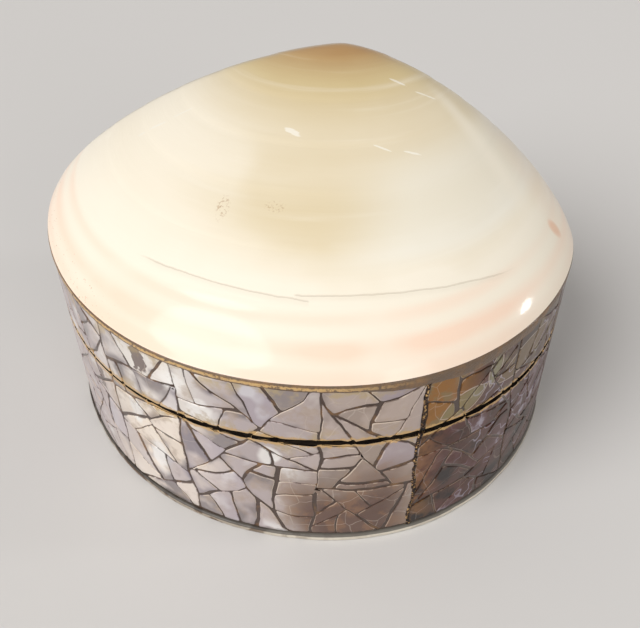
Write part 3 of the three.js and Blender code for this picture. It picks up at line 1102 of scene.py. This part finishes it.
# The near white of the painted highlights on the nacre
HIGHLIGHT_NACRE = (0.9, 0.87, 0.84)
MAUVE_NACRE = (0.36, 0.25, 0.25)
VIOLET_NACRE = (0.31, 0.27, 0.36)
PATINA_BROWN = (0.11, 0.052, 0.037)
PATINA_RUST = (0.3, 0.15, 0.07)
BARE_RESIN = (0.1, 0.05, 0.04)
SEAM_AMBER = (0.5, 0.38, 0.17)
AMBER_LEAF = (0.28, 0.125, 0.028)
GREY_LEAF = (0.13, 0.085, 0.065)
# The violet of the painted flash highlights
FLASH_VIOLET = (0.5, 0.47, 0.58)
HAIR_CREAM = (0.62, 0.53, 0.45)
# The cream of the worn edges and of their painted highlight
EDGE_CREAM = (0.66, 0.56, 0.46)

# Dark shards, from the deepest tone to the brightest, around the user's own dark colour
DARK_DEEP = (0.012, 0.005, 0.004)
DARK_RED = (0.085, 0.028, 0.022)
DARK_PLUM = (0.12, 0.055, 0.058)
# The silver at the bright end is painted highlight on the dark shards
DARK_SILVER_HIGHLIGHT = (0.38, 0.34, 0.4)


def leaf_chip(around, height, middle, half, turn):
    """A lens-shaped chip on the wall: its fill, and its outline."""
    across = around - middle[0]
    up = height - middle[1]
    along = across * math.cos(turn) + up * math.sin(turn)
    side = abs(up * math.cos(turn) - across * math.sin(turn))
    inside = (1 - (along / half[0]) ** 2.0) * half[1] - side
    rim = abs(inside).step(0.22, 0.06) * abs(along).step(half[0] + 0.3, half[0])
    return inside.step(0.0, 0.5), rim


def pearl_shards(context):
    """Nacre under lacquer: each shard shows its own piece of cloud, sheen and tilt."""
    colours = context.scene.shell_box_colours
    shader = Shader("pearl_shards")
    place = shader.place()
    wall, _ = shader.layer("wall")
    _, _, height = shader.parts(place)
    tone, tint = shader.layer("shard")
    turn, glow = shader.layer("shard_turn")
    edge, border = shader.layer("shard_edge")
    around = wall * (1 / MM)
    own = shader.add(
        "ShaderNodeVectorMath",
        {"operation": "ADD"},
        {0: place, 1: shader.vector(tone * 90, tint * 90, turn * 90)},
    )
    grain_place = shader.add(
        "ShaderNodeVectorRotate",
        {"rotation_type": "AXIS_ANGLE"},
        {"Vector": place, "Axis": (0.2, 0.3, 1.0), "Angle": turn * math.tau},
    )
    stretched = shader.add(
        "ShaderNodeVectorMath", {"operation": "MULTIPLY"}, {0: grain_place, 1: (0.36, 0.06, 0.26)}
    )
    waves = shader.noise(stretched, 1.0, detail=1.5, roughness=0.45, distortion=0.3)
    body = shader.noise(own, 0.085, detail=2, roughness=0.45)
    cloud = shader.noise(place, 0.24, detail=4, roughness=0.6)
    broad = shader.noise(place, 0.055, detail=2)
    crisp = shader.noise(place, 0.9, detail=4, roughness=0.65)
    light = colours.pearl_light
    pearl = colours.pearl
    warm = colours.pearl_warm
    shadow = tuple(0.55 * part for part in colours.pearl)
    # Each shard's tone: its own cloud and random tone, pale painted sheen along its waves, and
    # painted shade towards its border
    sheen = body + (tone - 0.5) * 0.2 + (waves - 0.5) * 0.4 - (border - 0.35) * 0.12
    base = shader.ramp(sheen, [(0.28, shadow), (0.43, pearl), (0.56, pearl), (0.72, light)])
    # The left part goes pale cream: painted light from the left, with a warm stain in it
    left_light_and_stain = around.between(-50, -33, -22, -9) * sheen.step(0.25, 0.5)
    cream = shader.mix(height.step(27, 33), CREAM_BELOW, CREAM_ABOVE)
    base = shader.mix(left_light_and_stain * 0.85, base, cream)
    # Pale spots painted over the shards: painted highlights on the nacre
    for (mid_u, mid_z), (wide, tall) in NACRE_HIGHLIGHTS:
        across = (around - mid_u) * (1 / wide)
        up = (height - mid_z) * (1 / tall)
        spot = (across.squared() + up.squared() + (waves - 0.5) * 2).step(1.0, 0.25)
        base = shader.mix(spot * 0.85, base, HIGHLIGHT_NACRE)
    base = shader.mix(around.between(-6, 16, 20, 30) * 0.6, base, warm)
    mauve = around.between(-110, -90, -52, -38)
    base = shader.mix(mauve * cloud.step(0.35, 0.6) * 0.6, base, MAUVE_NACRE)
    base = shader.mix(cloud.step(0.5, 0.68) * 0.55, base, warm)
    base = shader.mix(tint.step(0.72, 1.0) * 0.5, base, VIOLET_NACRE)

    low_patina = broad.step(0.46, 0.62) * height.step(24, 6)
    drift = (broad - 0.5) * 16
    front_part = (around + drift).step(-4, 7) * around.step(27, 17)
    front_patina = (height + drift).step(26, 13) * front_part
    base = shader.mix((low_patina * 0.5 + front_patina) * cloud.step(0.25, 0.5), base, warm)
    base = shader.mix(front_patina * 0.92, base, PATINA_BROWN)
    base = shader.mix(front_patina * cloud.step(0.5, 0.6) * 0.45, base, PATINA_RUST)
    for (mid_u, mid_z), (wide, tall) in DARK_PATCHES:
        across = abs(around - mid_u + (cloud - 0.5) * 5) * (1 / wide)
        up = abs(height - mid_z + (waves - 0.5) * 5 + (crisp - 0.5) * 2) * (1 / tall)
        gap = across.highest(up).step(1.0, 0.85)
        base = shader.mix(gap * 0.85, base, BARE_RESIN)
    near_seam = abs(height - SEAM_MIDDLE).step(4.5, 0.6) * cloud.step(0.5, 0.62)
    near_top = height.step(39.5, 43) * cloud.step(0.48, 0.62)
    base = shader.mix((near_seam + near_top) * 0.5, base, SEAM_AMBER)

    past_joint = around - dark_joint_at(height)
    dark_part = past_joint.step(-0.15, 0.15) * around.step(112, 92)
    shade = cloud * 0.5 + body * 0.5 + (tone - 0.5) * 0.1
    # The dark shards' tones, up to a painted silver highlight
    dark = shader.ramp(
        shade,
        [
            (0.38, DARK_DEEP),
            (0.45, colours.dark_shard),
            (0.52, DARK_RED),
            (0.6, DARK_PLUM),
            (0.68, DARK_SILVER_HIGHLIGHT),
        ],
    )
    above = height.step(30, 30.4)
    golden = above * around.step(38, 29) + around.step(30, 23.6) * cloud.step(0.35, 0.55) * 0.6
    dark = shader.mix(golden * 0.92, dark, AMBER_LEAF)
    dark = shader.mix(above * around.step(33, 42) * 0.5, dark, GREY_LEAF)
    dark = shader.mix(above * cloud.step(0.52, 0.64) * 0.6, dark, colours.green_shard)
    veins = shader.add(
        "ShaderNodeTexVoronoi",
        {"feature": "DISTANCE_TO_EDGE"},
        {"Vector": shader.drifted(place, 0.16, 3.0), "Scale": 0.13, "Randomness": 1.0},
        output="Distance",
    )
    hairs = veins.step(0.014, 0.006) * broad.step(0.47, 0.55)
    outline = 0
    for middle, half, lean, tint_of_leaf in LEAF_CHIPS:
        fill, rim = leaf_chip(around, height, middle, half, lean)
        dark = shader.mix(fill * 0.8, dark, tint_of_leaf)
        outline = rim + outline
    # Thin pale violet streaks over the dark shards: painted highlights of the abalone's iridescence
    swirl = shader.noise(shader.drifted(place, 0.12, 2.5), 0.24, detail=1, roughness=0.4)
    flash_highlights = abs(swirl - 0.5).step(0.024, 0.004) * body.step(0.42, 0.54) * around.step(28, 38)
    dark = shader.mix(flash_highlights * 0.5, dark, FLASH_VIOLET)
    base = shader.mix(dark_part, base, dark)
    hairs = hairs * (0.3 - dark_part * 0.1) + outline * dark_part * 0.6
    base = shader.mix(hairs, base, HAIR_CREAM)
    worn = edge.step(0.05, 0.6)
    # Cream along some shard edges: the edges' own wear, and painted highlight where they catch the
    # light
    edge_cream_and_highlight = worn * cloud.step(0.48, 0.54) * (0.6 - dark_part * 0.35 - front_patina * 0.3)
    base = shader.mix(edge_cream_and_highlight, base, EDGE_CREAM)
    base = shader.mix(worn * cloud.step(0.48, 0.42) * 0.6, base, colours.joint)
    base = shader.mix(seam_stain(height, crisp) * 0.8, base, colours.gold)
    # The seam's level faces go nearly black: painted shade inside the gap
    base = shader.mix(seam_gap_shade(shader, height), base, colours.painted_shade)
    # A dark band along the wall's foot, darker towards the right: painted shade where the wall
    # meets the base
    foot_shade = (height + (crisp - 0.5) * 1.6).step(2.7, 2.3)
    base = shader.mix(foot_shade * (0.4 + around.step(0, 24) * 0.5), base, colours.painted_shade)
    tilt = shader.add(
        "ShaderNodeVectorMath",
        {"operation": "DOT_PRODUCT"},
        {0: grain_place, 1: (0.05, 0.04, 0.03)},
        output="Value",
    )
    tilted = shader.bump(tilt, 1 * MM, 1.0)
    rippled = shader.bump(waves * 0.6 + cloud * 0.4, 0.12 * MM, 0.8, tilted)
    raised = shader.bump(hairs, 0.05 * MM, 1.0, rippled)
    return shader.surface(
        Base_Color=base,
        Metallic=(0.2 + glow * 0.3) * (1 - dark_part * 0.7) * (1 - worn),
        Roughness=0.26 + waves * 0.14,
        Normal=raised,
        Coat_Weight=0.5 - dark_part * 0.32,
        Coat_Roughness=0.07,
        Specular_IOR_Level=0.25,
    )


def joint_resin(context):
    """Dark lacquered resin, gold where it thins out towards the seam."""
    colours = context.scene.shell_box_colours
    shader = Shader("joint_resin")
    place = shader.place()
    _, _, height = shader.parts(place)
    cloud = shader.noise(place, 0.3, detail=4)
    crisp = shader.noise(place, 0.9, detail=4, roughness=0.65)
    base = shader.mix(cloud.step(0.5, 0.75) * 0.5, colours.joint, colours.amber)
    base = shader.mix(seam_stain(height, crisp) * 0.8, base, colours.gold)
    # The seam's level faces go nearly black: painted shade inside the gap
    base = shader.mix(seam_gap_shade(shader, height), base, colours.painted_shade)
    return shader.surface(
        Base_Color=base,
        Roughness=0.25 + cloud * 0.2,
        Normal=shader.bump(cloud, 0.15 * MM, 1.0),
        Coat_Weight=0.35,
        Coat_Roughness=0.12,
    )


# The bead, the base and the walls


class SHELLBOX_OT_bead(bpy.types.Operator):
    """Lay the brown resin bead that the valve's margin is set in"""

    bl_idname = "shellbox.bead"
    bl_label = "Bedding Resin"

    def execute(self, context):
        sizes = context.scene.shell_box_sizes
        low = LID_TOP
        high = MARGIN_HEIGHT + LIP_LIFT
        bulge = sizes.bead_bulge

        def section(distance):
            spot = on_wall(distance, 0, 0) / MM
            wobble = noise.noise(spot * 0.12) + 0.5 * noise.noise(spot * 0.5)
            round_at = (distance / MM + 20) % (OUTLINE.round / MM) - 20
            smear = max(0.0, min(1.0, (round_at - 12) / 14, (66 - round_at) / 30))
            drop = (0.25 + 0.2 * wobble + SMEAR_DROP * smear * (1 + 0.25 * wobble)) * MM
            proud = bulge * (0.7 + 0.5 * wobble)
            middle = (low + high) / 2
            return [
                (0.3 * MM, high),
                (-proud * 0.4, high - 0.25 * MM),
                (-proud, middle),
                (-proud * 0.7, low - drop * 0.6),
                (0.02 * MM, low - drop),
                (1.0 * MM, low - drop),
                (BEAD_REACH, low + 0.05 * MM),
                (BEAD_REACH, high),
            ]

        bead = swept_ring(section, True)
        recalculate_normals()
        finish_piece(bead, "resin_bead", bead_resin(context), smooth=60)
        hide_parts("bedding_resin")
        return {"FINISHED"}


def bead_resin(context):
    """Brown resin, golden in a line where it is thin and grey-brown where it is smeared; above the
    gold line the dark brown is also painted shade under the valve's lip.
    """
    colours = context.scene.shell_box_colours
    shader = Shader("bead_resin")
    place = shader.place()
    x, _, height = shader.parts(place)
    cloud = shader.noise(place, 0.35, detail=5, roughness=0.65)
    crisp = shader.noise(place, 1.1, detail=4, roughness=0.65)
    gold = colours.gold
    thin = x.step(30, 8)
    base = shader.mix(cloud.step(0.45, 0.7) * 0.4, colours.brown_resin, colours.amber)
    uneven = height + (crisp - 0.5) * 0.9
    # Gold only in a low line: above it the bead stays dark brown, painted shade under the valve's
    # lip over the resin's own brown
    line = uneven.between(43.7, 43.85, 44.3, 44.6)
    base = shader.mix(thin * line * crisp.step(0.36, 0.5), base, gold)
    return shader.surface(
        Base_Color=base,
        Roughness=0.35 + cloud * 0.25,
        Normal=shader.bump(crisp, 0.3 * MM, 1.0),
        Coat_Weight=0.3,
        Coat_Roughness=0.15,
    )


class SHELLBOX_OT_base(bpy.types.Operator):
    """Cut the thin pale base plate with its worn edge"""

    bl_idname = "shellbox.base"
    bl_label = "Base Plate"

    def execute(self, context):
        low = BASE_LOW.z
        high = BASE_HIGH.z
        proud = BASE_HIGH.x - MOSAIC_HIGH.x
        worn = 0.35 * MM

        def section(distance):
            spot = on_wall(distance, 0, 0) / MM
            wobble = 0.12 * MM * (noise.noise(spot * 0.2) + noise.noise(spot * 0.9) * 0.6 - 0.4)
            edge = -proud - min(0.0, wobble)
            return [
                (edge + worn * 2, low),
                (edge + worn * 0.3, low + worn * 0.5),
                (edge, low + worn * 1.2),
                (edge, high - worn),
                (edge + worn * 0.4, high - worn * 0.3),
                (edge + worn * 1.2, high),
            ]

        plate = swept_ring(section, False)
        recalculate_normals()
        finish_piece(plate, "pearl_base", base_pearl(context), smooth=50)
        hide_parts("base_plate")
        return {"FINISHED"}


def base_pearl(context):
    """Pale plate, darker in patches and along the left, with painted shade along its top edge under
    the wall.
    """
    colours = context.scene.shell_box_colours
    shader = Shader("base_pearl")
    place = shader.place()
    x, _, height = shader.parts(place)
    cloud = shader.noise(place, 0.3, detail=4)
    pale = x.between(2, 14, 48, 60)
    dark_patches_and_left = cloud.step(0.46, 0.6) * 0.5 + x.step(8, -12) * 0.6
    dark_patches_and_left = (dark_patches_and_left * (1 - pale * 0.7)).lowest(1.0)
    base = shader.mix(dark_patches_and_left, colours.base, colours.brown_resin)
    # The top of the plate's edge goes dark: painted shade under the wall
    base = shader.mix(height.step(1.1, 1.35) * 0.8, base, colours.painted_shade)
    return shader.surface(
        Base_Color=base,
        Roughness=0.35 + cloud * 0.25,
        Normal=shader.bump(cloud, 0.2 * MM, 0.8),
    )


class SHELLBOX_OT_walls(bpy.types.Operator):
    """Give the tray's wall and the lid's wall their cream resin"""

    bl_idname = "shellbox.walls"
    bl_label = "Resin Walls"

    def execute(self, context):
        material = cream_resin(context)
        for node in ("tray_wall", "lid_wall"):
            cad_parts[node].data.materials.clear()
            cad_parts[node].data.materials.append(material)
        return {"FINISHED"}


def cream_resin(context):
    """Cast cream resin, clouded and a little scuffed."""
    colours = context.scene.shell_box_colours
    shader = Shader("cream_resin")
    place = shader.place()
    cloud = shader.noise(place, 0.12, detail=4)
    scuffs = shader.noise(place, 1.1, detail=3)
    base = shader.mix(cloud.step(0.4, 0.75) * 0.4, colours.cream_resin, colours.amber)
    return shader.surface(
        Base_Color=base,
        Roughness=0.4 + scuffs * 0.2,
        Normal=shader.bump(scuffs, 0.05 * MM, 0.6),
    )


# The stage

CAMERA_AZIMUTH = 7.1
CAMERA_PITCH = 42.0
CAMERA_DISTANCE = 212.7 * MM
CAMERA_AIM = (3.68 * MM, 19.23 * MM)
CAMERA_ROLL = -0.26
CAMERA_LENS = 45.5

FLOOR_SIDE = 30
FLOOR_CLOUD = (0.7, 0.69, 0.68)


class SHELLBOX_OT_stage(bpy.types.Operator):
    """Set the floor, the lights and the camera"""

    bl_idname = "shellbox.stage"
    bl_label = "Stage"

    def execute(self, context):
        self.floor(context)
        self.daylight("window_light", (-0.5, -0.5, 0.62), 40, 2.68)
        self.light("fill_light", (0.5, -0.62, 0.42), 0.25, 0.8)
        self.daylight("glint_light", (0.95, 0.15, 0.26), 7, 0.42)
        self.sky()
        self.camera(context)
        return {"FINISHED"}

    def floor(self, context):
        start_fresh()
        bpy.ops.mesh.primitive_plane_add(size=FLOOR_SIDE)
        floor = bpy.context.object
        floor.name = "floor"
        shader = Shader("pale_floor")
        cloud = shader.noise(shader.place(), 0.01)
        pale = context.scene.shell_box_colours.floor
        base = shader.mix(cloud * 0.1, pale, FLOOR_CLOUD)
        floor.data.materials.append(shader.surface(Base_Color=base, Roughness=0.6))

    def light(self, name, place, width, power):
        start_fresh()
        bpy.ops.object.light_add(type="AREA", location=place)
        light = bpy.context.object
        light.name = name
        light.data.size = width
        light.data.energy = power
        aim = Vector((0, 0, 0.03)) - Vector(place)
        light.rotation_euler = aim.to_track_quat("-Z", "Y").to_euler()

    def daylight(self, name, place, spread, strength):
        start_fresh()
        bpy.ops.object.light_add(type="SUN", location=place)
        light = bpy.context.object
        light.name = name
        light.data.angle = math.radians(spread)
        light.data.energy = strength
        light.rotation_euler = (-Vector(place)).to_track_quat("-Z", "Y").to_euler()

    def sky(self):
        world = bpy.data.worlds.new("soft_sky")
        bpy.context.scene.world = world
        world.use_nodes = True
        background = world.node_tree.nodes["Background"]
        background.inputs["Color"].default_value = (1.0, 0.98, 0.96, 1)
        background.inputs["Strength"].default_value = 0.4

    def camera(self, context):
        azimuth = math.radians(CAMERA_AZIMUTH)
        pitch = math.radians(CAMERA_PITCH)
        away = CAMERA_AIM[1] - CAMERA_DISTANCE * math.cos(pitch)
        height = CAMERA_DISTANCE * math.sin(pitch)
        place = Vector((CAMERA_AIM[0], away, height))
        place.rotate(Matrix.Rotation(azimuth, 3, "Z"))
        turn = Matrix.Rotation(azimuth, 4, "Z") @ Matrix.Rotation(math.pi / 2 - pitch, 4, "X")
        turn = turn @ Matrix.Rotation(math.radians(CAMERA_ROLL), 4, "Z")
        start_fresh()
        bpy.ops.object.camera_add(location=place, rotation=turn.to_euler())
        camera = bpy.context.object
        camera.data.lens = CAMERA_LENS
        camera.data.clip_start = 0.01
        context.scene.camera = camera
        context.scene.view_settings.view_transform = "Standard"


class SHELLBOX_PT_panel(bpy.types.Panel):
    """The box's pieces, sizes and colours"""

    bl_idname = "SHELLBOX_PT_panel"
    bl_label = "Shell Box"
    bl_space_type = "VIEW_3D"
    bl_region_type = "UI"
    bl_category = "Shell Box"

    def draw(self, context):
        for operator in OPERATORS:
            self.layout.operator(operator.bl_idname)
        for group in (context.scene.shell_box_sizes, context.scene.shell_box_colours):
            for name in group.__annotations__:
                self.layout.prop(group, name)


OPERATORS = (
    SHELLBOX_OT_stage,
    SHELLBOX_OT_walls,
    SHELLBOX_OT_base,
    SHELLBOX_OT_mosaic,
    SHELLBOX_OT_dark_joint,
    SHELLBOX_OT_bead,
    SHELLBOX_OT_valve,
)
CLASSES = (ShellBoxSizes, ShellBoxColours, *OPERATORS, SHELLBOX_PT_panel)


def register():
    for cls in CLASSES:
        bpy.utils.register_class(cls)
    bpy.types.Scene.shell_box_sizes = PointerProperty(type=ShellBoxSizes)
    bpy.types.Scene.shell_box_colours = PointerProperty(type=ShellBoxColours)


def unregister():
    del bpy.types.Scene.shell_box_colours
    del bpy.types.Scene.shell_box_sizes
    for cls in reversed(CLASSES):
        bpy.utils.unregister_class(cls)


def main():
    register()
    bpy.ops.shellbox.stage()
    bpy.ops.shellbox.walls()
    bpy.ops.shellbox.base()
    bpy.ops.shellbox.mosaic()
    bpy.ops.shellbox.dark_joint()
    bpy.ops.shellbox.bead()
    bpy.ops.shellbox.valve()


if __name__ == "__main__":
    main()
